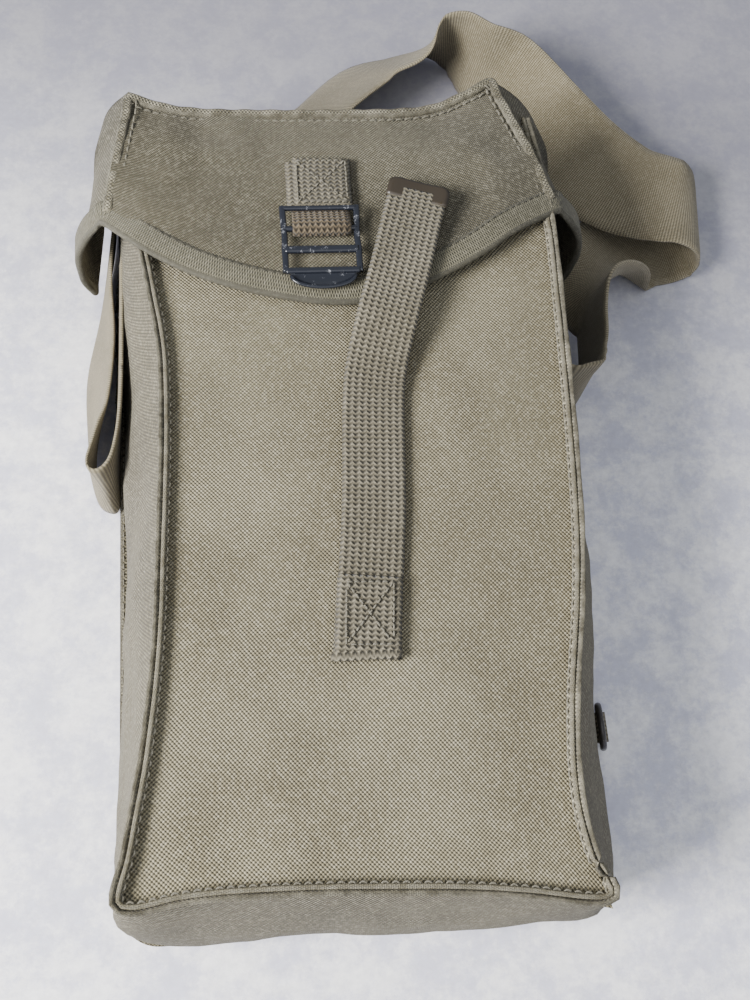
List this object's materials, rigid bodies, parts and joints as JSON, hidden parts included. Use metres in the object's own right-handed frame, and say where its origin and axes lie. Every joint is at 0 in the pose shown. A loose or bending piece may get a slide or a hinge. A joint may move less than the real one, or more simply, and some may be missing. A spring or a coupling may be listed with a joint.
{
  "type": "canvas carrying bag",
  "caption": "Olive canvas carrying bag lying on its back, box-lid flap with strap and ladder buckle, shoulder strap and D-ring.",
  "frame": {"origin": "middle of the back panel's outer face, on the surface the bag rests on", "axes": "+Z out of the front panel, +X across the bag, +Y from the bottom seam to the fold of the flap"},
  "size_m": [0.32, 0.473, 0.1052],
  "materials": {
    "canvas": "washed olive drab duck",
    "binding": "olive edge binding",
    "webbing": "narrow olive webbing",
    "tan_webbing": "wide tan webbing",
    "stitching": "pale cotton thread",
    "buckle_black": "worn black enamel",
    "tip_brass": "dark patina",
    "ring_steel": "dark worn finish"
  },
  "bodies": {
    "bag": {"back_panel": "canvas", "gusset": "canvas", "front_panel": "canvas", "front_seam_thread": "stitching", "back_seam_thread": "stitching", "mouth_hem_thread": "stitching", "closing_strap_end": "webbing", "closing_strap_thread": "stitching", "shoulder_strap": "tan_webbing", "shoulder_strap_thread": "stitching", "ring_tab": "webbing"},
    "flap": {"flap_front": "canvas", "flap_strip": "canvas", "flap_hem": "binding", "flap_seam_thread": "stitching", "flap_hem_thread": "stitching", "buckle_tab": "webbing", "buckle_tab_thread": "stitching"},
    "buckle_swinging": {"buckle": "buckle_black", "buckle_tab_loop": "webbing"},
    "strap_free": {"closing_strap": "webbing", "strap_tip": "tip_brass"},
    "ring": {"carry_ring": "ring_steel"}
  },
  "joints": [
    {"name": "flap_open", "type": "hinge", "parent": "bag", "child": "flap", "pos_m": [0, 0.175, 0.0019], "axis": [-1, 0, 0], "range_deg": [0, 70], "deforming": ["shoulder_strap"]},
    {"name": "closing_strap_lift", "type": "hinge", "parent": "bag", "child": "strap_free", "pos_m": [0, -0.05, 0.0928], "axis": [1, 0, 0], "range_deg": [0, 150]},
    {"name": "buckle_swing", "type": "hinge", "parent": "flap", "child": "buckle_swinging", "pos_m": [0, 0.1115, 0.1005], "axis": [-1, 0, 0], "range_deg": [0, 90]},
    {"name": "ring_swing", "type": "hinge", "parent": "bag", "child": "ring", "pos_m": [0.1075, -0.101, 0.005], "axis": [0, 1, 0], "range_deg": [0, 80]}
  ],
  "couplings": [
    {"joint": "closing_strap_lift", "follows": "flap_open", "ratio": 2.1}
  ]
}
